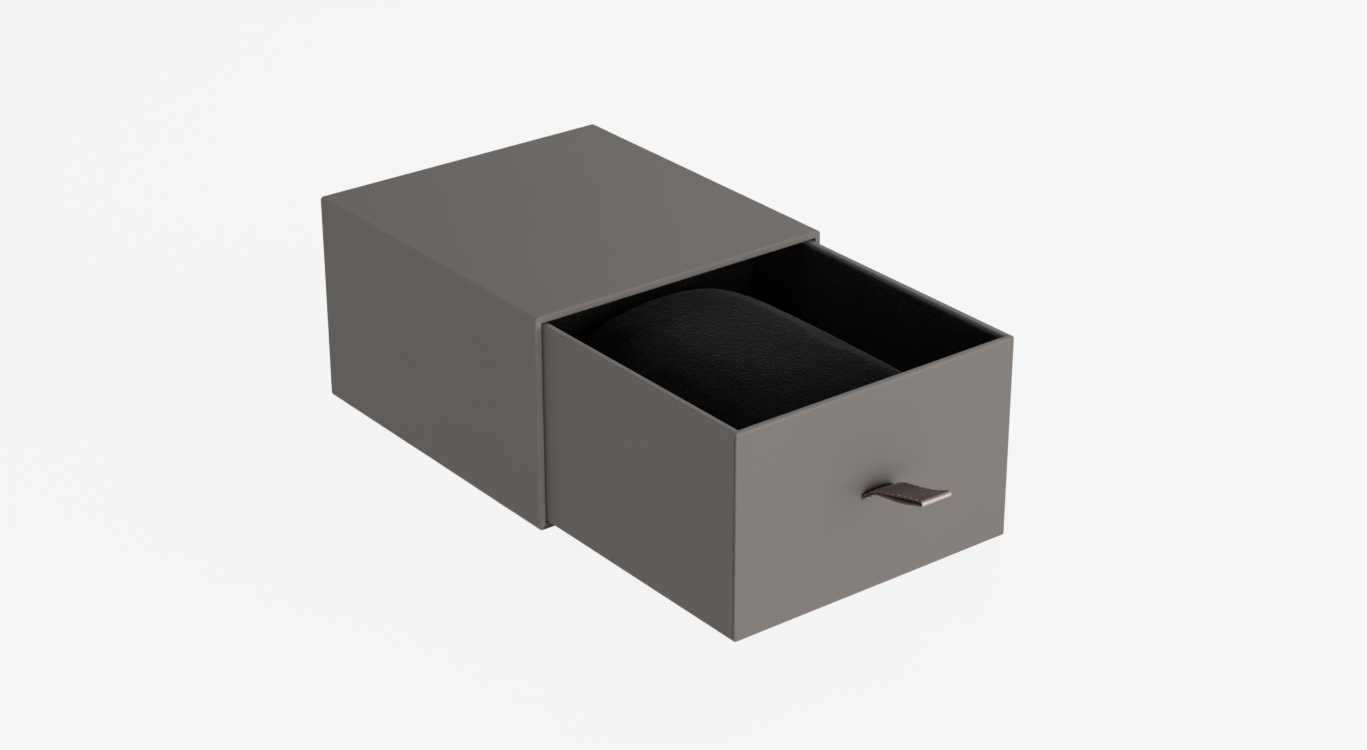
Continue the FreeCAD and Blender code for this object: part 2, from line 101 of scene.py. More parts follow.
# the drawer's side seams: a groove near each corner, which curls into the corner under the rim
SEAM_SETBACK = 0.74 * MM
SEAM_WIDTH = 0.42 * MM
SEAM_DEPTH = 0.15 * MM
SEAM_PROFILE = ((0.0, 0.0), (0.18, 1.0), (0.82, 1.0), (1.0, 0.0))
SEAM_CLEARANCE = 0.2 * MM
SEAM_CURL = 3.0 * MM
SEAM_CURL_STEPS = 8
SEAM_CURL_REACH = 0.8
LAST_WALL_ROW = 0.12 * MM
MITRE_DEPTH = 0.12 * MM

# the ribbon's slit in the drawer's front: how far it lies below the middle, and its lips
SLIT_DROP = 1.0 * MM
SLIT_HALF_WIDTH = 5.3 * MM
SLIT_HALF_HEIGHT = 1.1 * MM
SLIT_LIP = 0.9 * MM
SLIT_LIP_STEPS = (0.12 * MM, 0.3 * MM, 0.6 * MM, SLIT_LIP)
SLIT_STEPS = 5
SLIT_SINK = 0.16 * MM
SLIT_ARCH = 0.45 * MM
SLIT_ARCH_POWER = 2.2

# the unevenness of hand-wrapped board and of its folds, and how many waves it has in a metre
BOARD_WAVE, BOARD_WAVES = 0.05 * MM, 26.0
FOLD_WAVE, FOLD_WAVES = 0.02 * MM, 330.0

# how rubbed the paper is, from 0 to 1 and more, where FOLD_END_WEAR is the share at a fold's ends;
# the paler rubbed paper is partly painted highlight, set higher on the sleeve's left rim and long
# edges and lower on its top rim to even out how light falls
FOLD_END_WEAR = 0.35
RIM_WEAR_AND_LIGHT = 0.62
TOP_RIM_WEAR_AND_LIGHT = 0.2
LEFT_RIM_PAINTED_LIGHT = 0.95
LONG_EDGE_WEAR_AND_LIGHT = 1.8
# how dark painted shade makes a gap or the paper beside it, from 0 to 1, and the rows over which it
# fades
MITRE_PAINTED_SHADE = 0.55
UNDER_RIM_PAINTED_SHADE = 0.4
UNDER_RIM_ROWS = 4
MOUTH_FADE_ROWS = 3

# the sides of a ring of columns: the sleeve's ring is upright and the drawer's lies flat
SLEEVE_TOP, SLEEVE_LEFT, SLEEVE_UNDERSIDE = 1, 2, 3
DRAWER_RIGHT, DRAWER_FRONT = 0, 3

TOLERANCE = 1e-7


# ---- node helpers
def new_material(name):
    """An empty node material with its output; returns the material and its tree."""
    material = bpy.data.materials.new(name)
    material.use_nodes = True
    tree = material.node_tree
    tree.nodes.clear()
    tree.nodes.new("ShaderNodeOutputMaterial").name = "output"
    return material, tree


def add_node(tree, kind, inputs=None, **settings):
    """A node whose inputs are constants or other nodes' sockets."""
    made = tree.nodes.new(f"ShaderNode{kind}")
    for key, value in settings.items():
        setattr(made, key, value)
    for key, value in (inputs or {}).items():
        socket = made.inputs[key]
        if isinstance(value, bpy.types.NodeSocket):
            tree.links.new(value, socket)
        else:
            socket.default_value = value
    return made


def noise_value(tree, where, scale, detail=2.0, roughness=0.5, distortion=0.0):
    inputs = {"Vector": where, "Scale": scale, "Detail": detail}
    inputs |= {"Roughness": roughness, "Distortion": distortion}
    return add_node(tree, "TexNoise", inputs).outputs["Fac"]


def remap(tree, value, low, high, to_low, to_high):
    inputs = {"Value": value, "From Min": low, "From Max": high}
    inputs |= {"To Min": to_low, "To Max": to_high}
    return add_node(tree, "MapRange", inputs).outputs["Result"]


def calculate(tree, operation, one, other):
    return add_node(tree, "Math", {0: one, 1: other}, operation=operation).outputs[0]


def stretched(tree, where, scale):
    return add_node(tree, "Mapping", {"Vector": where, "Scale": scale}).outputs[0]


def blend_colours(tree, factor, one, other):
    made = add_node(tree, "Mix", data_type="RGBA")
    for socket, value in (("Factor_Float", factor), ("A_Color", one), ("B_Color", other)):
        target = next(item for item in made.inputs if item.identifier == socket)
        if isinstance(value, bpy.types.NodeSocket):
            tree.links.new(value, target)
        else:
            target.default_value = value
    return next(item for item in made.outputs if item.identifier == "Result_Color")


def bump(tree, height, distance, strength=1.0, under=None):
    inputs = {"Height": height, "Distance": distance, "Strength": strength}
    if under is not None:
        inputs["Normal"] = under
    return add_node(tree, "Bump", inputs).outputs["Normal"]


def finish_material(tree, inputs):
    shader = add_node(tree, "BsdfPrincipled", inputs)
    tree.links.new(shader.outputs[0], tree.nodes["output"].inputs["Surface"])


def shade(colour, factor):
    return (*[part * factor for part in colour], 1.0)


# ---- materials
# how bright rubbed paper is, partly as painted highlight, and how dark paper under painted shade
# is, beside the plain paper
WEAR_AND_HIGHLIGHT_SHADE = 1.56
PAINTED_SHADE_LEVEL = 0.18
# which way the nap of the suede is brushed, and how it stretches the grain
NAP_TURN = 0.66
NAP_STRETCH = (1.0, 0.5, 1.0)
SATIN_GLINT = (1.0, 0.86, 0.82, 1.0)


def paper_material(name, colour):
    """Uncoated soft-touch paper: cloudy tone, fine fibres, folds paled by rubbing and painted
    highlight, and painted shade.
    """
    material, tree = new_material(name)
    where = add_node(tree, "TexCoord").outputs["Object"]
    cloud = noise_value(tree, where, 28.0, 3.0, 0.55)
    fibre = noise_value(tree, stretched(tree, where, (1.0, 2.6, 2.2)), 1500.0, 3.0, 0.6, 0.4)
    grain = noise_value(tree, where, 3800.0)
    tone = remap(tree, cloud, 0.3, 0.7, 0.35, 0.65)
    speck = remap(tree, fibre, 0.25, 0.75, -0.22, 0.22)
    mixed = calculate(tree, "ADD", tone, speck)
    body = blend_colours(tree, mixed, shade(colour, 0.955), shade(colour, 1.045))
    # folds turn paler with rubbing, and this is also painted highlight that evens out the shading
    # at folds
    fold = add_node(tree, "Attribute", attribute_name="fold").outputs["Fac"]
    rubbed = noise_value(tree, where, 420.0, 3.0, 0.65)
    rubbing = remap(tree, rubbed, 0.35, 0.65, 0.38, 0.66)
    wear_and_highlight = calculate(tree, "MULTIPLY", fold, rubbing)
    worn_and_highlit = blend_colours(tree, wear_and_highlight, body, shade(colour, WEAR_AND_HIGHLIGHT_SHADE))
    # the gap attribute lays painted shade on seams, mitres, the sleeve's mouth and the paper under
    # the rims
    gap = add_node(tree, "Attribute", attribute_name="gap").outputs["Fac"]
    shown = blend_colours(tree, gap, worn_and_highlit, shade(colour, PAINTED_SHADE_LEVEL))
    rough = remap(tree, fibre, 0.3, 0.7, 0.6, 0.72)
    relief = bump(tree, fibre, 0.02 * MM, 0.55)
    relief = bump(tree, grain, 0.008 * MM, 0.5, relief)
    inputs = {
        "Base Color": shown,
        "Roughness": rough,
        "Normal": relief,
        "Specular IOR Level": 0.32,
        "Sheen Weight": 0.06,
        "Sheen Roughness": 0.5,
    }
    finish_material(tree, inputs)
    return material


def suede_material(name, dark, light, sheen, nap_scale, nap_depth):
    """Black microsuede: a brushed nap in soft patches, which glows where it is seen edge on."""
    material, tree = new_material(name)
    where = add_node(tree, "TexCoord").outputs["Object"]
    patch = noise_value(tree, where, 55.0, 3.0, 0.6, 0.5)
    turning = {"Vector": where, "Angle": NAP_TURN}
    turned = add_node(tree, "VectorRotate", turning, rotation_type="Z_AXIS").outputs[0]
    lie = stretched(tree, turned, NAP_STRETCH)
    nap = noise_value(tree, lie, nap_scale, 2.0, 0.6)
    fuzz = noise_value(tree, lie, nap_scale * 3.4, 2.0, 0.6)
    brushed = calculate(tree, "MULTIPLY", remap(tree, nap, 0.43, 0.57, 0.0, 1.0), 0.8)
    shaded = calculate(tree, "ADD", brushed, remap(tree, patch, 0.3, 0.7, 0.0, 0.25))
    colour = blend_colours(tree, shaded, (*dark, 1.0), (*light, 1.0))
    relief = bump(tree, nap, nap_depth, 0.9)
    relief = bump(tree, fuzz, nap_depth * 0.4, 0.8, relief)
    inputs = {
        "Base Color": colour,
        "Roughness": remap(tree, nap, 0.3, 0.7, 0.82, 0.98),
        "Normal": relief,
        "Specular IOR Level": 0.03,
        "Sheen Weight": sheen,
        "Sheen Roughness": 0.28,
        "Sheen Tint": (1.0, 0.98, 0.97, 1.0),
    }
    finish_material(tree, inputs)
    return material


def satin_material(name, colour, gloss, rough, glint=SATIN_GLINT, thread=False):
    """Woven satin: fine warp floats along the ribbon's length, glossy across them."""
    material, tree = new_material(name)
    where = add_node(tree, "TexCoord").outputs["Object"]
    warp = noise_value(tree, stretched(tree, where, (1.0, 0.06, 0.06)), 7000.0)
    weft = noise_value(tree, stretched(tree, where, (0.12, 1.0, 1.0)), 2600.0)
    warp_share = calculate(tree, "MULTIPLY", warp, 0.7)
    weft_share = calculate(tree, "MULTIPLY", weft, 0.3)
    weave = calculate(tree, "ADD", warp_share, weft_share)
    factor = remap(tree, weave, 0.35, 0.65, 0.0, 1.0)
    tint = blend_colours(tree, factor, shade(colour, 0.88), shade(colour, 1.12))
    relief = bump(tree, weave, 0.012 * MM, 0.4)
    inputs = {
        "Base Color": tint,
        "Roughness": remap(tree, warp, 0.3, 0.7, rough - 0.06, rough + 0.06),
        "Normal": relief,
        "Specular IOR Level": gloss,
        "Specular Tint": glint,
        "IOR": 1.5,
        "Sheen Weight": 0.25 if thread else 0.1,
        "Sheen Roughness": 0.35,
    }
    if not thread:
        tangent = add_node(tree, "Tangent", direction_type="UV_MAP", uv_map="weave")
        inputs["Anisotropic"] = 0.55
        inputs["Tangent"] = tangent.outputs[0]
    finish_material(tree, inputs)
    return material


def board_material(name, colour, flecks):
    """Pressed grey board or kraft: mottled pulp with darker flecks."""
    material, tree = new_material(name)
    where = add_node(tree, "TexCoord").outputs["Object"]
    pulp = noise_value(tree, where, 900.0, 5.0, 0.7)
    fleck = noise_value(tree, where, 2600.0, 2.0, 0.8, 1.0)
    mottle = remap(tree, pulp, 0.3, 0.7, 0.0, 1.0)
    body = blend_colours(tree, mottle, shade(colour, 0.85), shade(colour, 1.12))
    marks = remap(tree, fleck, 0.62, 0.72, 0.0, flecks)
    inputs = {
        "Base Color": blend_colours(tree, marks, body, shade(colour, 0.35)),
        "Roughness": 0.9,
        "Normal": bump(tree, pulp, 0.06 * MM, 0.7),
        "Specular IOR Level": 0.2,
    }
    finish_material(tree, inputs)
    return material


def grey(level):
    return (level,) * 3


TAUPE = (0.0876, 0.0771, 0.0703)
PAPERS = paper_material("taupe_soft_paper", TAUPE)
LINING_SUEDE = suede_material(
    "lining_suede", grey(0.003), (0.009, 0.009, 0.0089), sheen=0.03, nap_scale=1500.0,
    nap_depth=0.06 * MM,
)
PILLOW_SUEDE = suede_material(
    "pillow_microsuede", grey(0.0002), grey(0.0034), sheen=0.14, nap_scale=1600.0,
    nap_depth=0.42 * MM,
)
SATIN = satin_material(
    "brown_satin", (0.036, 0.0148, 0.0122), gloss=0.18, rough=0.38, glint=(1.0, 0.7, 0.65, 1.0)
)
# lighter satin on the outside of the fold: painted highlight for the fold's glint
SATIN_PAINTED_HIGHLIGHT = satin_material("brown_satin_painted_highlight", (0.2, 0.172, 0.162), gloss=0.9, rough=0.32)
# the satin's matte back, coloured lighter so the shaded inside of the loop shows: painted light
SATIN_BACK_PAINTED_LIGHT = satin_material("brown_satin_back_painted_light", (0.135, 0.09, 0.077), gloss=0.15, rough=0.7)
STITCH = satin_material("selvedge_thread", (0.42, 0.35, 0.32), gloss=0.4, rough=0.45, thread=True)
GREYBOARD = board_material("pressed_greyboard", (0.2, 0.185, 0.165), flecks=0.55)
KRAFT = board_material("kraft_paper_tape", (0.32, 0.2, 0.11), flecks=0.25)


def dress(node, material):
    """Give a carried-over CAD node, or a made piece, its one finish."""
    data = bpy.data.objects[node].data
    data.materials.clear()
    data.materials.append(material)


# ---- objects
def link_object(name, data):
    """A new object with this data, in the scene."""
    made = bpy.data.objects.new(name, data)
    bpy.context.scene.collection.objects.link(made)
    return made


def make_object(name, points, faces, material):
    mesh = bpy.data.meshes.new(name)
    mesh.from_pydata(points, [], faces)
    mesh.materials.append(material)
    work = bmesh.new()
    work.from_mesh(mesh)
    bmesh.ops.recalc_face_normals(work, faces=work.faces)
    work.to_mesh(mesh)
    work.free()
    mesh.polygons.foreach_set("use_smooth", [True] * len(mesh.polygons))
    made = link_object(name, mesh)
    return made


def tube_faces(rows, width, closed=False, open_cells=()):
    """The quads between rows of width points, in a ring or in a tube with capped ends."""
    faces = []
    for row in range(rows if closed else rows - 1):
        here, after = row * width, (row + 1) % rows * width
        for column in range(width):
            if (row, column) not in open_cells:
                beside = (column + 1) % width
                faces.append((here + column, here + beside, after + beside, after + column))
    if not closed:
        last = (rows - 1) * width
        faces += [tuple(reversed(range(width))), tuple(last + column for column in range(width))]
    return faces


# ---- folded skins
CORNER_SIGNS = ((1, -1), (1, 1), (-1, 1), (-1, -1))
FINE_SHARES = (1, 2.5, 6, 14)


def ring_columns(marks_u, marks_v):
    """Every column round a rounded rectangle, as its kind, its side or corner, and its place."""
    columns = []
    for side in range(4):
        columns += [("corner", side, step / CORNER_STEPS) for step in range(CORNER_STEPS + 1)]
        columns += [("side", side, mark) for mark in (marks_u if side % 2 else marks_v)]
    return columns


def ring_point(column, half_u, half_v, radius):
    """Where a column stands on a rounded rectangle of these half sizes."""
    kind, side, along = column
    straight_u, straight_v = half_u - radius, half_v - radius
    if kind == "corner":
        angle = math.radians(90 * (side - 1 + along))
        sign_u, sign_v = CORNER_SIGNS[side]
        return (
            sign_u * straight_u + radius * math.cos(angle),
            sign_v * straight_v + radius * math.sin(angle),
        )
    sides = (
        (half_u, along * straight_v),
        (-along * straight_u, half_v),
        (-half_u, -along * straight_v),
        (along * straight_u, -half_v),
    )
    return sides[side]


def spread(low, high, step, edge):
    """Places from low to high: fine near both ends, and about a step apart between."""
    fine = [edge * share for share in FINE_SHARES]
    left = [low + gap for gap in fine]
    right = [high - gap for gap in reversed(fine)]
    count = max(2, round((right[0] - left[-1]) / step))
    middle = [left[-1] + (right[0] - left[-1]) * i / count for i in range(1, count)]
    return [*left, *middle, *right]


def fold_arc(along, radius, start, end):
    """Rows round a fold: (inset, place along, how folded) for a quarter turn of the profile.

    The quarter is a little squarer than a circle, as paper is where it turns over a board's edge.
    """
    rows = []
    for step in range(FOLD_STEPS + 1):
        angle = math.radians(start + (end - start) * step / FOLD_STEPS)
        crest = math.sin(math.pi * step / FOLD_STEPS)
        across = max(math.cos(angle), 0.0) ** (2 / FOLD_SQUARE)
        up = max(math.sin(angle), 0.0) ** (2 / FOLD_SQUARE)
        folded = FOLD_END_WEAR + (1 - FOLD_END_WEAR) * crest
        rows.append((radius * across, along + radius * up, folded))
    return rows


def turned_under(turned, end, fold, way):
    """Rows from a turned-in edge back along its glued side and through the fold to the wall."""
    near, far = end - way * fold, end - way * PAPER
    places = (
        (WALL, turned), (WALL - PAPER, turned), (WALL - PAPER, near),
        (WALL - PAPER - fold / 2, far), (PAPER + fold / 2, far), (PAPER, near),
    )
    return [(inset, along, 0.0) for inset, along in places]


class Skin:
    """A sheet wrapped round a box: rows follow its profile and columns go round the box.

    A row is its inset from the outer face, its place along the wrap's axis and how folded it is.
    folds say how rubbed each point is, partly as painted highlight; the shade list says how much
    painted shade it takes.
    """

    def __init__(self, half_u, half_v, radius, columns, rows, to_space):
        self.columns, self.rows = columns, rows
        self.points, self.folds = [], []
        self.painted_shades = [[0.0] * len(columns) for _ in rows]
        for inset, along, fold in rows:
            round_by = max(radius - inset, LEAST_RADIUS)
            line, bends = [], []
            for column in columns:
                u, v = ring_point(column, half_u - inset, half_v - inset, round_by)
                line.append(to_space(u, v, along))
                turn = math.sin(math.pi * column[2]) if column[0] == "corner" else 0.0
                bends.append(max(RIM_WEAR_AND_LIGHT * fold, turn))
            self.points.append(line)
            self.folds.append(bends)
        self.open_cells = set()

    def faces(self, closed):
        return tube_faces(len(self.rows), len(self.columns), closed, self.open_cells)


def flatten(lines):
    return [item for line in lines for item in line]


def board_wave(point):
    """The slow unevenness of hand-wrapped board."""
    return noise.noise_vector(point * BOARD_WAVES) * BOARD_WAVE


def fold_wave(point):
    """The finer unevenness of a fold."""
    return noise.noise_vector(point * FOLD_WAVES) * FOLD_WAVE


def skin_object(name, skin, closed, extra_faces=()):
    """A skin as a piece of taupe paper, with its rubbing and painted highlight, and its painted
    shade, as attributes of its points.
    """
    folds, painted_shades = flatten(skin.folds), flatten(skin.painted_shades)
    points = []
    for point, fold in zip(flatten(skin.points), folds):
        points.append(point + board_wave(point) + fold_wave(point) * fold)
    faces = [*skin.faces(closed), *extra_faces]
    made = make_object(name, points, faces, PAPERS)
    for attribute_name, values in (("fold", folds), ("gap", painted_shades)):
        attribute = made.data.attributes.new(attribute_name, "FLOAT", "POINT")
        attribute.data.foreach_set("value", values)
    return made


def mitre(skin, rows):
    """A cut and folded corner shows as a fine line across the rim, dented and darkened with painted
    shade.
    """
    for index, column in enumerate(skin.columns):
        if column[0] != "corner" or column[2] != 0.5:
            continue
        for row in rows:
            line = skin.points[row]
            before, after = skin.points[row - 1][index], skin.points[row + 1][index]
            neighbours = (line[index - 1] + line[index + 1]) / 2
            inwards = (line[index + 1] - line[index - 1]).cross(after - before).normalized()
            line[index] = neighbours + inwards * MITRE_DEPTH
            skin.folds[row][index] = 0.0
            # painted shade in the mitre's crease
            skin.painted_shades[row][index] = MITRE_PAINTED_SHADE


# ---- sleeve
def sleeve_skin(rows, step, edge):
    """A skin round the sleeve, with columns about a step apart and fine near its long edges."""
    low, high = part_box("sleeve_wrap")
    half_u, half_v = (high.x - low.x) / 2, (high.z - low.z) / 2
    middle = (low.z + high.z) / 2

    def to_space(u, v, along):
        return Vector((u, along, v + middle))

    marks = []
    for half in (half_u, half_v):
        straight = half - SLEEVE_EDGE
        marks.append([mark / straight for mark in spread(-straight, straight, step, edge)])
    return Skin(half_u, half_v, SLEEVE_EDGE, ring_columns(*marks), rows, to_space)


def sleeve_wrap():
    """The outer paper, turned in round both open ends, with its inner face against the boards."""
    low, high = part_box("sleeve_wrap")
    back, front = high.y, low.y
    liner_low, liner_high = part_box("sleeve_liner")
    fold, lip = SLEEVE_FOLD, SLEEVE_LIP
    outside = spread(front + fold, back - fold, ROW_STEP, FINE_STEP)
    rows = [(0.0, y, 0.0) for y in outside]
    rows += [(fold - x, y, f) for x, y, f in fold_arc(back - fold, fold, 0, 90)]
    rows += [(WALL - lip + x, y, f) for x, y, f in fold_arc(back - lip, lip, 90, 0)]
    rows += [(WALL, back - lip - gap * MM, 0.0) for gap in TURN_IN_ROWS]
    rows += turned_under(liner_high.y, back, fold, 1)
    rows += reversed(turned_under(liner_low.y, front, fold, -1))
    rows += [(WALL, front + lip + gap * MM, 0.0) for gap in reversed(TURN_IN_ROWS)]
    front_rim = len(rows)
    front_lip, front_fold = front + lip, front + fold
    rows += [
        (WALL - lip + x, 2 * front_lip - y, f) for x, y, f in fold_arc(front_lip, lip, 0, 90)
    ]
    rows += [(fold - x, 2 * front_fold - y, f) for x, y, f in fold_arc(front_fold, fold, 90, 0)]

    skin = sleeve_skin(rows, COLUMN_STEP, FINE_STEP)
    paint_sleeve_rubbing_light_and_shade(skin, len(outside), front_rim)
    wrap = skin_object("sleeve_paper", skin, closed=True)
    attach(wrap, "sleeve")
    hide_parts("sleeve_wrap")


def paint_sleeve_rubbing_light_and_shade(skin, outside_rows, front_rim):
    """Rubbing and painted highlight on the long edges and the front rim, painted light on its left
    face, and painted shade inside the mouth and under the rim.
    """
    rim_face = front_rim + FOLD_STEPS
    for index, (kind, side, _) in enumerate(skin.columns):
        corner = kind == "corner"
        for row in range(front_rim, len(skin.rows)):
            # painted shadow on the underside of the front rim, as under the drawer
            if side == SLEEVE_UNDERSIDE and not corner:
                skin.painted_shades[row][index] = 1.0
            # less painted highlight on the top of the front rim and its corners
            if side == SLEEVE_TOP or corner:
                skin.folds[row][index] *= TOP_RIM_WEAR_AND_LIGHT
        if corner:
            # the long edges are brightened past their rubbing: painted highlight
            for row in range(outside_rows):
                skin.folds[row][index] *= LONG_EDGE_WEAR_AND_LIGHT
        elif side == SLEEVE_LEFT:
            # the left face of the front rim is lifted with painted light
            for row in (rim_face, rim_face + 1):
                skin.folds[row][index] = LEFT_RIM_PAINTED_LIGHT
    # painted shade inside the mouth, fading towards the rim's face
    for row in range(front_rim - 2, rim_face):
        shaded = min(1.0, (rim_face - row) / MOUTH_FADE_ROWS)
        skin.painted_shades[row] = [shaded] * len(skin.columns)


def sleeve_liner():
    """Paper inside the sleeve, lapped over both turn-ins."""
    liner_low, liner_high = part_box("sleeve_liner")
    front, back = liner_low.y - LINER_OVERLAP, liner_high.y + LINER_OVERLAP
    face, under = WALL + LINER_RISE, WALL - PAPER / 2
    soft = LINER_SOFT_EDGE
    inside = spread(front + soft, back - soft, LINER_ROW_STEP, LINER_FINE_STEP)
    rows = [(under, front, 0.0), (face - soft / 2, front, 0.5), (face, front + soft, 0.2)]
    rows += [(face, y, 0.0) for y in inside]
    rows += [(face, back - soft, 0.2), (face - soft / 2, back, 0.5), (under, back, 0.0)]
    skin = sleeve_skin(rows, LINER_COLUMN_STEP, LINER_FINE_STEP)
    liner = skin_object("sleeve_lining_paper", skin, closed=True)
    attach(liner, "sleeve")
    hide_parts("sleeve_liner")


# ---- drawer
def wall_places(height, slit_z):
    """Heights of the wall's rows, close together at folds, slit and seam curl."""
    top = height - DRAWER_FOLD
    slit_low, slit_high = slit_z - SLIT_HALF_HEIGHT, slit_z + SLIT_HALF_HEIGHT
    places = spread(DRAWER_FOLD, slit_low - SLIT_LIP, ROW_STEP, FINE_STEP)
    places += [slit_low - gap for gap in (*SLIT_LIP_STEPS, 0.0)]
    places += [slit_z - SLIT_HALF_HEIGHT / 2, slit_z, slit_z + SLIT_HALF_HEIGHT / 2]
    places += [slit_high + gap for gap in (0.0, *SLIT_LIP_STEPS)]
    upper = spread(slit_high + SLIT_LIP, top, ROW_STEP, FINE_STEP)
    places += [up for up in upper if up < top - SEAM_CURL]
    places += [top - SEAM_CURL * (1 - i / SEAM_CURL_STEPS) for i in range(SEAM_CURL_STEPS)]
    places.append(top - LAST_WALL_ROW)
    return sorted(places)


def drawer_columns(half_u, half_v):
    """The drawer's ring of columns, and how deep its seams' grooves are at their marks."""
    straight_u, straight_v = half_u - DRAWER_EDGE, half_v - DRAWER_EDGE
    half_marks = [SLIT_HALF_WIDTH * i / SLIT_STEPS for i in range(1, SLIT_STEPS)]
    half_marks += [SLIT_HALF_WIDTH + gap for gap in (0.0, *SLIT_LIP_STEPS)]
    half_marks += spread(SLIT_HALF_WIDTH + SLIT_LIP, straight_u, COLUMN_STEP, DRAWER_FINE_STEP)
    marks_u = [-mark for mark in reversed(half_marks)] + [0.0] + half_marks
    seam_starts = straight_v - (SEAM_SETBACK - DRAWER_EDGE)
    seam_marks = [seam_starts - share * SEAM_WIDTH for share, _ in SEAM_PROFILE]
    plain = seam_marks[-1] - SEAM_CLEARANCE
    marks_v = [-mark for mark in seam_marks]
    marks_v += spread(-plain, plain, COLUMN_STEP, DRAWER_FINE_STEP)
    marks_v += reversed(seam_marks)
    columns = ring_columns(
        [mark / straight_u for mark in marks_u], [mark / straight_v for mark in marks_v]
    )
    grooves = {}
    for mark, (_, depth) in zip(seam_marks, SEAM_PROFILE):
        grooves[round(mark / straight_v, 6)] = grooves[round(-mark / straight_v, 6)] = depth
    return columns, grooves


def cut_seams(skin, grooves, wall_rows, middle, curl_starts):
    """Side seams: a fine gap between the sheets, which curls into the corner under the rim, with
    painted shade in its groove.
    """
    reach = (SEAM_SETBACK - DRAWER_EDGE) * SEAM_CURL_REACH
    for index, (kind, side, along) in enumerate(skin.columns):
        groove = grooves.get(round(along, 6))
        if kind == "corner" or side % 2 or groove is None:
            continue
        outwards = Vector((1.0 if side == DRAWER_RIGHT else -1.0, 0.0, 0.0))
        for row in wall_rows:
            point = skin.points[row][index]
            rise = min(max((skin.rows[row][1] - curl_starts) / SEAM_CURL, 0.0), 1.0)
            ends = 1.0 if point.y > middle else -1.0
            depth = SEAM_DEPTH * groove * (1 - rise**4)
            curl = Vector((0.0, ends * reach * rise**2, 0.0))
            skin.points[row][index] = point - outwards * depth + curl
            # painted shade in the seam's groove
            skin.painted_shades[row][index] = groove * (1 - rise**6)


def shape_slit(skin, front, wall_rows, slit_z, inner):
    """The lips of the slit sink a little, and the upper one is arched."""
    for index in front:
        for row in wall_rows:
            point = skin.points[row][index]
            up = skin.rows[row][1] - slit_z
            above = up - SLIT_HALF_HEIGHT
            beyond = max(abs(point.x) - SLIT_HALF_WIDTH, 0.0)
            away = math.hypot(beyond, max(abs(up) - SLIT_HALF_HEIGHT, 0.0))
            if away < SLIT_LIP:
                sink = (1 - away / SLIT_LIP) ** 2
                skin.points[row][index] = point + Vector((0.0, SLIT_SINK * sink, 0.0))
            if -TOLERANCE <= above < SLIT_LIP and beyond < SLIT_LIP:
                share = (1 - above / SLIT_LIP) * (1 - beyond / SLIT_LIP)
                arch = min(abs(point.x) / SLIT_HALF_WIDTH, 1.0) ** SLIT_ARCH_POWER
                drop = SLIT_ARCH * arch * share
                for line in (skin.points[row], skin.points[inner(row)]):
                    line[index] = line[index] - Vector((0.0, 0.0, drop))


def open_slit(skin, inside, slit_rows, inner):
    """Open the cells of both sheets at the slit; returns the faces that join its edges."""
    count = len(skin.columns)
    faces = []

    def join(row, index, next_row, next_index, flip):
        quad = (
            row * count + index,
            next_row * count + next_index,
            inner(next_row) * count + next_index,
            inner(row) * count + index,
        )
        faces.append(tuple(reversed(quad)) if flip else quad)

    for row in slit_rows[:-1]:
        for index in inside[:-1]:
            skin.open_cells.add((row, index))
            skin.open_cells.add((inner(row + 1), index))
    for row, flip in ((slit_rows[0], False), (slit_rows[-1], True)):
        for index in inside[:-1]:
            join(row, index, row, index + 1, flip)
    for index, flip in ((inside[0], True), (inside[-1], False)):
        for row in slit_rows[:-1]:
            join(row, index, row + 1, index, flip)
    return faces


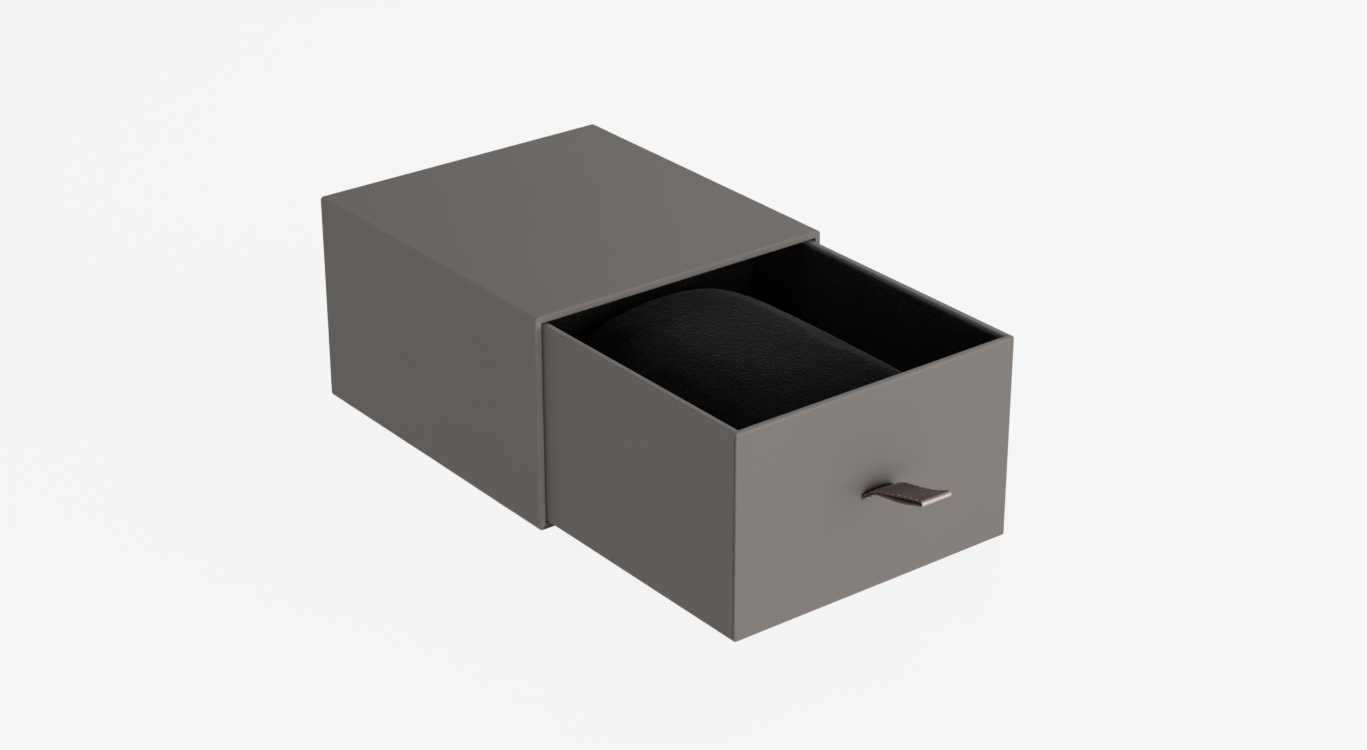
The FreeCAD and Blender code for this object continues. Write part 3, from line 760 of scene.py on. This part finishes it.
def drawer_wrap():
    """The tray's paper: base flaps, four walls with side seams and the slit, and turned-in rims."""
    low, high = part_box("drawer_wrap")
    half_u, half_v = (high.x - low.x) / 2, (high.y - low.y) / 2
    middle = (low.y + high.y) / 2
    height = high.z - low.z
    fold, lip, thin = DRAWER_FOLD, DRAWER_LIP, PAPER
    slit_z = height / 2 - SLIT_DROP
    walls = wall_places(height, slit_z)

    rows = [(UNDERSIDE_FLAP, 0.0, 0.0)]
    rows += [(gap * MM, 0.0, 0.0) for gap in UNDERSIDE_ROWS]
    rows += [(fold - x, fold - y, f) for x, y, f in fold_arc(0.0, fold, 90, 0)]
    first_wall = len(rows)
    rows += [(0.0, up, 0.0) for up in walls]
    last_wall = len(rows) - 1
    rows += [(fold - x, height - fold + y, f) for x, y, f in fold_arc(0.0, fold, 0, 90)]
    rim_start = len(rows) - 1
    rows += [(WALL - lip + x, height - lip + y, f) for x, y, f in fold_arc(0.0, lip, 90, 0)]
    under_rim = len(rows) - 1
    rows += [(WALL, height - lip - gap * MM, 0.0) for gap in RIM_ROWS]
    rows += turned_under(height - RIM_TURN_IN, height, fold, 1)
    inner_wall = len(rows)
    rows += [(thin, up, 0.0) for up in reversed(walls)]
    rows += [(thin, fold, 0.0), (thin + fold / 2, thin, 0.0), (UNDERSIDE_FLAP, thin, 0.0)]

    def to_space(u, v, along):
        return Vector((u, v + middle, along + low.z))

    def inner(row):
        """The row of the inner face that is behind a row of the outer one."""
        return inner_wall + (last_wall - row)

    columns, grooves = drawer_columns(half_u, half_v)
    skin = Skin(half_u, half_v, DRAWER_EDGE, columns, rows, to_space)
    wall_rows = range(first_wall, last_wall + 1)
    cut_seams(skin, grooves, wall_rows, middle, height - fold - SEAM_CURL)
    mitre(skin, range(rim_start, under_rim))
    # painted shade on the turned-in paper just under the rim
    for row in range(under_rim, under_rim + UNDER_RIM_ROWS):
        skin.painted_shades[row] = [UNDER_RIM_PAINTED_SHADE] * len(columns)

    front = [index for index, column in enumerate(columns) if column[:2] == ("side", DRAWER_FRONT)]
    shape_slit(skin, front, wall_rows, slit_z, inner)
    widest = SLIT_HALF_WIDTH + TOLERANCE
    tallest = SLIT_HALF_HEIGHT + TOLERANCE
    inside = [index for index in front if abs(skin.points[first_wall][index].x) <= widest]
    slit_rows = [row for row in wall_rows if abs(rows[row][1] - slit_z) <= tallest]
    slit_faces = open_slit(skin, inside, slit_rows, inner)

    wrap = skin_object("drawer_paper", skin, closed=False, extra_faces=slit_faces)
    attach(wrap, "drawer")
    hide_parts("drawer_wrap")


# ---- linings
CARD_ROUND = 0.46
CARD_ROWS = 22
CARD_STEP = 1.5 * MM
CARD_TOP_ROWS = (0.25, 0.08)
CARD_TOP_CLEARANCE = 0.3 * MM
CARD_ARC_STEPS = 4
# the unevenness of cloth on card: waves in a metre, and their height in millimetres
CARD_WAVES = ((160.0, 0.06), (900.0, 0.035))


def section_of_card(thickness, height):
    """Round a card's cross-section: up one face, over the soft top edge and down the other."""
    radius = CARD_ROUND * thickness
    rise = [height * step / CARD_ROWS for step in range(CARD_ROWS + 1)]
    face = [(0.0, up) for up in rise if up < height - radius - CARD_TOP_CLEARANCE]
    face += [(0.0, height - radius - gap * MM) for gap in CARD_TOP_ROWS]
    top = []
    for middle, start in ((radius, 180), (thickness - radius, 90)):
        for step in range(CARD_ARC_STEPS + 1):
            angle = math.radians(start - 90 * step / CARD_ARC_STEPS)
            across, up = radius * math.cos(angle), radius * math.sin(angle)
            top.append((middle + across, height - radius + up))
    other = [(thickness - across, up) for across, up in reversed(face)]
    return face + top + other


def suede_nap(point):
    """Small unevenness of cloth glued over card."""
    broad, fine = [noise.noise_vector(point * waves) * height * MM for waves, height in CARD_WAVES]
    return broad + fine


def lining_card(node, name):
    """A suede-covered card that stands against a wall of the drawer."""
    low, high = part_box(node)
    size = high - low
    along_x = size.x > size.y
    thickness, length = (size.y, size.x) if along_x else (size.x, size.y)
    section = section_of_card(thickness, size.z)
    count = round(length / CARD_STEP)
    points = []
    for step in range(count + 1):
        run = length * step / count
        for across, up in section:
            point = low + Vector((run, across, up) if along_x else (across, run, up))
            points.append(point + suede_nap(point) if up > 0 else point)
    faces = tube_faces(count + 1, len(section))
    card = make_object(name, points, faces, LINING_SUEDE)
    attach(card, "drawer")
    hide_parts(node)


# ---- pillow
PILLOW_BACK_SPREAD = 0.5
PILLOW_FRONT_SPREAD = 0.3
PILLOW_CROWN = 14.0 * MM
PILLOW_TOP_SQUARE = 0.49
PILLOW_LEFT_SQUARE = 0.85
PILLOW_BASE_SQUARE = 0.32
# where the slack of its left side starts and how far it takes to grow, in half widths
SLACK_STARTS = 0.1
SLACK_REACH = 0.9
# how it swells: from a form this much smaller, by no more than SWELL_MOST
PILLOW_INSET = 0.5 * MM
PILLOW_VOXEL = 2.4 * MM
SWELL_MOST = 0.4 * MM
SWELL_FRAMES = 20
CLOTH = {
    "quality": 6,
    "mass": 0.3,
    "tension_stiffness": 12,
    "compression_stiffness": 12,
    "bending_stiffness": 0.6,
    "use_pressure": True,
    "uniform_pressure_force": 4.0,
}
# the seam near each end, with its groove and puckers
PILLOW_SEAM = 8.0 * MM
GROOVE_DEPTH = 0.22 * MM
GROOVE_WIDTH = 1.2 * MM
PUCKER_DEPTH = 0.1 * MM
PUCKER_WIDTH = 4.0 * MM
PUCKERS = 34
PUCKER_GROUPS = 5
# the unevenness of its stuffing and cloth: waves in a metre, and their height in millimetres
PILLOW_WAVES = ((34.0, 0.4), (420.0, 0.06))


def pillow_form(low, high, inset):
    """A stuffed block before it swells, squarer below than above and slacker on its left."""
    half_x, half_y = (high.x - low.x) / 2 - inset, (high.y - low.y) / 2 - inset
    middle = (low + high) / 2
    waist = high.z - PILLOW_CROWN
    work = bmesh.new()
    bmesh.ops.create_icosphere(work, subdivisions=6, radius=1.0)
    for vertex in work.verts:
        x, y, z = vertex.co
        slack = min(max(SLACK_STARTS - x, 0.0) / SLACK_REACH, 1.0)
        slack = slack * slack * (3 - 2 * slack)
        top_square = PILLOW_TOP_SQUARE + (PILLOW_LEFT_SQUARE - PILLOW_TOP_SQUARE) * slack
        rise, square = (PILLOW_CROWN, top_square) if z > 0 else (waist - low.z, PILLOW_BASE_SQUARE)
        rise -= inset
        spread_by = PILLOW_FRONT_SPREAD if y < 0 else PILLOW_BACK_SPREAD
        plan = abs(x) ** (2 / spread_by) + abs(y) ** (2 / spread_by)
        reach = (plan ** (spread_by / square) + abs(z) ** (2 / square)) ** (-square / 2)
        vertex.co = Vector((
            middle.x + half_x * x * reach,
            middle.y + half_y * y * reach,
            waist + rise * z * reach,
        ))
    mesh = bpy.data.meshes.new("pillow")
    work.to_mesh(mesh)
    work.free()
    return link_object("pillow", mesh)


def apply_modifiers(thing):
    """Make what the modifiers show the object's own mesh."""
    graph = bpy.context.evaluated_depsgraph_get()
    settled = bpy.data.meshes.new_from_object(thing.evaluated_get(graph))
    thing.modifiers.clear()
    thing.data = settled


def swell(thing):
    """Blow the closed form up like stuffed cloth; no point moves further than SWELL_MOST."""
    remesh = thing.modifiers.new("even", "REMESH")
    remesh.mode = "VOXEL"
    remesh.voxel_size = PILLOW_VOXEL
    apply_modifiers(thing)
    start = [vertex.co.copy() for vertex in thing.data.vertices]
    cloth = thing.modifiers.new("cloth", "CLOTH")
    for setting, value in CLOTH.items():
        setattr(cloth.settings, setting, value)
    cloth.settings.effector_weights.gravity = 0.0
    cloth.point_cache.frame_start = 1
    cloth.point_cache.frame_end = SWELL_FRAMES
    for frame_number in range(1, SWELL_FRAMES + 1):
        bpy.context.scene.frame_set(frame_number)
    apply_modifiers(thing)
    bpy.context.scene.frame_set(1)
    for vertex, before in zip(thing.data.vertices, start):
        moved = vertex.co - before
        if moved.length > SWELL_MOST:
            vertex.co = before + moved.normalized() * SWELL_MOST
    finer = thing.modifiers.new("finer", "SUBSURF")
    finer.levels = finer.render_levels = 1
    apply_modifiers(thing)


def pillow():
    """The loose pillow: microsuede over foam, with a sewn panel closing each end."""
    low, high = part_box("pillow_cover")
    made = pillow_form(low, high, PILLOW_INSET)
    swell(made)
    middle = (low + high) / 2
    seam_at = (high.y - low.y) / 2 - PILLOW_SEAM
    for vertex in made.data.vertices:
        point = vertex.co
        off = point - middle
        gap = abs(off.y) - seam_at
        outwards = Vector((off.x, 0.0, off.z)).normalized()
        angle = math.atan2(off.z, off.x)
        groove = GROOVE_DEPTH * math.exp(-((gap / GROOVE_WIDTH) ** 2))
        gather = math.sin(angle * PUCKERS + 2.0 * math.sin(angle * PUCKER_GROUPS))
        pucker = PUCKER_DEPTH * gather * math.exp(-abs(gap) / PUCKER_WIDTH)
        point += outwards * (pucker - groove)
        for waves, height in PILLOW_WAVES:
            point += noise.noise_vector(point * waves) * height * MM
    fit_box(made, low, high)
    dress(made.name, PILLOW_SUEDE)
    made.data.polygons.foreach_set("use_smooth", [True] * len(made.data.polygons))
    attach(made, "pillow")
    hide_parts("pillow_cover", "pillow_core")


def fit_box(thing, low, high):
    """Scale the mesh to fill the box exactly."""
    for axis in range(3):
        places = [vertex.co[axis] for vertex in thing.data.vertices]
        least, most = min(places), max(places)
        gain = (high[axis] - low[axis]) / (most - least)
        for vertex in thing.data.vertices:
            vertex.co[axis] = low[axis] + (vertex.co[axis] - least) * gain


# ---- ribbon
RIBBON_THICKNESS = 0.35 * MM
RIBBON_WIDTH = 10.0 * MM
# How far out of the drawer's face the middle of the cloth is, and how high its left and right
# edges are above the hinge, in millimetres, from the slit to the fold and back under it.
RIBBON_UPPER = (
    (0.0, 0.75, 0.7), (1.0, 1.25, 1.1), (2.2, 2.15, 1.8), (4.6, 3.45, 2.9),
    (8.6, 4.5, 3.8), (13.0, 5.65, 4.7), (17.2, 6.75, 5.85), (20.4, 7.4, 7.1),
)
RIBBON_TURN = (
    (21.7, 7.66, 7.6), (22.2, 7.58, 7.52), (22.48, 7.36, 7.32),
    (22.64, 6.95, 6.95), (22.45, 6.58, 6.6), (21.9, 6.4, 6.42),
)
RIBBON_LOWER = (
    (20.2, 5.95, 6.05), (17.2, 5.0, 4.95), (13.0, 4.0, 3.9), (8.6, 3.35, 3.2),
    (4.6, 2.6, 2.4), (2.2, 1.35, 1.2), (1.0, 0.5, 0.45), (0.0, 0.1, 0.1),
)
# The rest of its run, as the way out and the height in millimetres: up to the slit, and down
# behind the board again.
RIBBON_IN = ((0.0, 8.0), (0.0, 3.0), (0.0, 1.6), (0.12, 1.05), (0.45, 0.78), (1.0, 0.7))
RIBBON_OUT = ((1.0, 0.05), (0.45, -0.02), (0.12, -0.32), (0.0, -0.9), (0.0, -3.0), (0.0, -8.0))
ROUTE_STEP = 0.22 * MM
# its cross-section: flat, with a selvedge that stands out a little on each side
RIBBON_HEM = 0.08 * MM
SELVEDGE = 0.07 * MM
RIBBON_COLUMNS = 12
# its sides droop where it leaves the slit
RIBBON_ARCH = 0.4 * MM
ARCH_STARTS = -1.2 * MM
ARCH_REACH = 6.0 * MM
# where the fold's painted highlight starts on the shiny side
PAINTED_HIGHLIGHT_STARTS = 22.15 * MM
# its unevenness: waves in a metre across and along it, and their height in millimetres
FLUTTER_ACROSS, FLUTTER_ALONG, FLUTTER = 300.0, 260.0, 0.025
FLUTTER_SEED = 3.7
# a dash of the selvedge's stitching
STITCH_PITCH = 2.3 * MM
STITCH_LENGTH = 1.0 * MM
STITCH_RADIUS = 0.1 * MM
STITCH_WIDENING = 1.3
STITCH_INSET = 0.2 * MM
STITCH_LIFT = 0.02 * MM
STITCH_SIDES = 8


def smooth_path(points, step):
    """Points about a step apart on a smooth curve through the ones given."""
    spans = [(after - before).length for before, after in zip(points, points[1:])]
    slopes = [(points[1] - points[0]) / spans[0]]
    for i in range(1, len(points) - 1):
        into = (points[i] - points[i - 1]) / spans[i - 1]
        out = (points[i + 1] - points[i]) / spans[i]
        slopes.append((into * spans[i] + out * spans[i - 1]) / (spans[i - 1] + spans[i]))
    slopes.append((points[-1] - points[-2]) / spans[-1])
    path = [points[0]]
    for i, span in enumerate(spans):
        count = max(1, round(span / step))
        for k in range(1, count + 1):
            t = k / count
            path.append(
                points[i] * (2 * t**3 - 3 * t**2 + 1)
                + slopes[i] * span * (t**3 - 2 * t**2 + t)
                + points[i + 1] * (3 * t**2 - 2 * t**3)
                + slopes[i + 1] * span * (t**3 - t**2)
            )
    return path


def ribbon_route(behind, top, bottom):
    """The cloth's run as (out, height of left edge, height of right edge), from tail to tail."""
    rows = [(behind, top, top)] + [(behind + out, up, up) for out, up in RIBBON_IN]
    rows += [*RIBBON_UPPER, *RIBBON_TURN, *RIBBON_LOWER]
    rows += [(behind + out, up, up) for out, up in RIBBON_OUT] + [(behind, bottom, bottom)]
    return smooth_path([Vector(row) * MM for row in rows], ROUTE_STEP)


def ribbon():
    """One length of satin, doubled through the slit, with a stitched edge on each side."""
    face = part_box("drawer_wrap")[0].y
    tails_low, tails_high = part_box("ribbon_tails")
    level = (tails_low.z + tails_high.z) / 2
    half_width, half = RIBBON_WIDTH / 2 - RIBBON_HEM, RIBBON_THICKNESS / 2
    behind = (face - tails_high.y + half) / MM
    route = ribbon_route(behind, (tails_high.z - level) / MM, (tails_low.z - level) / MM)
    shares = [i / RIBBON_COLUMNS for i in range(-RIBBON_COLUMNS, RIBBON_COLUMNS + 1)]
    across = [math.sin(math.pi / 2 * share) * half_width for share in shares]
    section = [(x, half) for x in across] + [(half_width + SELVEDGE, 0.0)]
    section += [(x, -half) for x in reversed(across)] + [(-half_width - SELVEDGE, 0.0)]

    def spine(i, x):
        """A place on the cloth's middle, whose edges differ in height and droop at the slit."""
        out, left, right = route[i]
        share = (x / half_width + 1) / 2
        near = min(max(1 - out / ARCH_REACH, 0.0), 1.0) if out >= ARCH_STARTS else 0.0
        droop = RIBBON_ARCH * near**2 * (x / half_width) ** 2
        return Vector((x, face - out, level + left + (right - left) * share - droop))

    length = [0.0]
    for i in range(1, len(route)):
        length.append(length[-1] + (spine(i, 0.0) - spine(i - 1, 0.0)).length)

    def normal(i, x):
        """The way out of the cloth's shiny side."""
        before, after = spine(max(i - 1, 0), x), spine(min(i + 1, len(route) - 1), x)
        along = (after - before).normalized()
        return along.cross(Vector((1.0, 0.0, 0.0))).normalized()

    points, weave = [], []
    for i in range(len(route)):
        for x, lift in section:
            where = Vector((x * FLUTTER_ACROSS, length[i] * FLUTTER_ALONG, FLUTTER_SEED))
            flutter = noise.noise(where) * FLUTTER * MM
            points.append(spine(i, x) + normal(i, x) * (lift + flutter))
            weave.append((x / RIBBON_WIDTH + 0.5, length[i] / RIBBON_WIDTH))
    width = len(section)
    made = make_object("satin_ribbon", points, tube_faces(len(route), width), SATIN)
    made.data.materials.append(SATIN_BACK_PAINTED_LIGHT)
    made.data.materials.append(SATIN_PAINTED_HIGHLIGHT)
    top_count = len(across)
    for i in range(len(route) - 1):
        # the back side takes the lighter satin, which is painted light
        for j in range(top_count + 1, width - 1):
            made.data.polygons[i * width + j].material_index = 1
        # past this, the shiny side and its edge take the satin with painted highlight
        if route[i][0] > PAINTED_HIGHLIGHT_STARTS:
            for j in (*range(top_count), width - 1):
                made.data.polygons[i * width + j].material_index = 2
    layer = made.data.uv_layers.new(name="weave")
    for loop in made.data.loops:
        layer.data[loop.index].uv = weave[loop.vertex_index]
    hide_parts("ribbon_loop", "ribbon_tails")
    threads = edge_stitches(length, spine, normal, half_width)
    for piece in (made, threads):
        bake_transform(piece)


def edge_stitches(length, spine, normal, half_width):
    """Short threads along both selvedges of the shiny side, each a plump dash."""
    points, faces = [], []
    across = Vector((1.0, 0.0, 0.0))
    for edge in (-1, 1):
        starts = STITCH_PITCH / 2
        x = edge * (half_width - STITCH_INSET)
        while starts + STITCH_LENGTH < length[-1]:
            ends = starts + STITCH_LENGTH
            chosen = [i for i, run in enumerate(length) if starts <= run <= ends]
            first = len(points)
            for i in chosen:
                share = min(max((length[i] - starts) / STITCH_LENGTH, 0.03), 0.97)
                size = STITCH_RADIUS * max(math.sin(math.pi * share) ** 0.45, 0.15)
                up = normal(i, x)
                middle = spine(i, x) + up * (RIBBON_THICKNESS / 2 + STITCH_LIFT)
                for k in range(STITCH_SIDES):
                    angle = math.tau * k / STITCH_SIDES
                    aside = across * math.cos(angle) * size * STITCH_WIDENING
                    points.append(middle + aside + up * math.sin(angle) * size)
            if len(chosen) > 1:
                for face in tube_faces(len(chosen), STITCH_SIDES):
                    faces.append(tuple(first + corner for corner in face))
            starts += STITCH_PITCH
    return make_object("selvedge_stitches", points, faces, STITCH)


# ---- stage, light and camera
FLOOR_GLOW = 0.885
FLOOR_GREY = 0.03
FLOOR_REACH = 4.0
FLOOR_LEVEL = -0.05 * MM

# the backdrop's brightness at the horizon and above, and where it fades between them
SKY_LOW, SKY_HIGH = 0.9, 0.1
SKY_FADE = (0.03, 0.22)

# each softbox: its turn and rise in degrees, its distance, its size and its power
SOFTBOXES = {
    "key_left": (-20.0, 14.0, 1.5, (1.3, 0.8), 7.2),
    "key_front": (0.0, 7.0, 1.5, (1.9, 0.4), 22.5),
    "key_right": (34.0, 16.0, 1.3, (0.4, 0.8), 9.0),
    "back_right": (115.0, 50.0, 0.7, (0.4, 0.4), 3.3),
    "left": (-80.0, 60.0, 1.0, (0.6, 0.6), 3.1),
}
LIT_PLACE = (0.0, -0.04, 0.03)

CAMERA_TURN, CAMERA_RISE = -37.814, 25.549
CAMERA_PLACE = (-0.45485, -0.64132, 0.38842)
CAMERA_LENS = 76.87
CAMERA_SENSOR = 36.0


def stage():
    """A pale floor that is lit evenly and takes only a faint shadow."""
    material, tree = new_material("pale_floor")
    lit = add_node(tree, "Emission", {"Color": (1.0, 1.0, 1.0, 1.0), "Strength": FLOOR_GLOW})
    matt = add_node(tree, "BsdfDiffuse", {"Color": (*grey(FLOOR_GREY), 1.0)})
    both = add_node(tree, "AddShader", {0: lit.outputs[0], 1: matt.outputs[0]})
    tree.links.new(both.outputs[0], tree.nodes["output"].inputs["Surface"])
    mesh = bpy.data.meshes.new("studio_floor")
    signs = ((-1, -1), (1, -1), (1, 1), (-1, 1))
    corners = [(x * FLOOR_REACH, y * FLOOR_REACH, FLOOR_LEVEL) for x, y in signs]
    mesh.from_pydata(corners, [], [(0, 1, 2, 3)])
    mesh.materials.append(material)
    floor = link_object("studio_floor", mesh)


def direction(turn, rise):
    """The way from the box, turned to the right of the drawer's front and raised, in degrees."""
    turn, rise = math.radians(turn), math.radians(rise)
    flat = math.cos(rise)
    return Vector((math.sin(turn) * flat, -math.cos(turn) * flat, math.sin(rise)))


def look_back(thing, way):
    """Turn a light or the camera to look back along the way to it."""
    thing.rotation_mode = "QUATERNION"
    thing.rotation_quaternion = (-way).to_track_quat("-Z", "Y")


def soft_light(name, turn, rise, distance, size, power):
    """A rectangular softbox."""
    data = bpy.data.lights.new(name, "AREA")
    data.shape = "RECTANGLE"
    data.size, data.size_y = size
    data.energy = power
    light = link_object(name, data)
    way = direction(turn, rise)
    light.location = Vector(LIT_PLACE) + way * distance
    look_back(light, way)


def sky():
    """A backdrop as bright as the floor at the horizon, and dimmer above."""
    world = bpy.data.worlds.new("studio")
    world.use_nodes = True
    tree = world.node_tree
    tree.nodes.clear()
    where = add_node(tree, "TexCoord").outputs["Generated"]
    height = add_node(tree, "SeparateXYZ", {0: where}).outputs["Z"]
    strength = remap(tree, height, *SKY_FADE, SKY_LOW, SKY_HIGH)
    glow = add_node(tree, "Background", {"Color": (1.0, 1.0, 1.0, 1.0), "Strength": strength})
    output = add_node(tree, "OutputWorld")
    tree.links.new(glow.outputs[0], output.inputs["Surface"])
    bpy.context.scene.world = world


def lighting():
    """Soft light, strongest on the drawer's front."""
    sky()
    for name, settings in SOFTBOXES.items():
        soft_light(name, *settings)
    bpy.context.scene.view_settings.view_transform = "Standard"


def camera():
    """The photograph's view, from the front left and above."""
    data = bpy.data.cameras.new("camera")
    data.sensor_width = CAMERA_SENSOR
    data.lens = CAMERA_LENS
    made = link_object("camera", data)
    made.location = CAMERA_PLACE
    look_back(made, direction(CAMERA_TURN, CAMERA_RISE))
    bpy.context.scene.camera = made


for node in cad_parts:
    dress(node, GREYBOARD)
for node in ("sleeve_wrap", "sleeve_liner", "sleeve_base_sheet", "drawer_wrap"):
    dress(node, PAPERS)
for node in ("sleeve_corner_stays", "drawer_corner_stays", "ribbon_patch"):
    dress(node, KRAFT)
for node in ("base_lining", "front_lining", "back_lining", "left_lining", "right_lining"):
    dress(node, LINING_SUEDE)
for node in ("pillow_cover", "pillow_core"):
    dress(node, PILLOW_SUEDE)
for node in ("ribbon_loop", "ribbon_tails"):
    dress(node, SATIN)

sleeve_wrap()
sleeve_liner()
drawer_wrap()
for node in ("front_lining", "back_lining", "left_lining", "right_lining"):
    lining_card(node, node.replace("lining", "suede_card"))
pillow()
ribbon()
stage()
lighting()
camera()
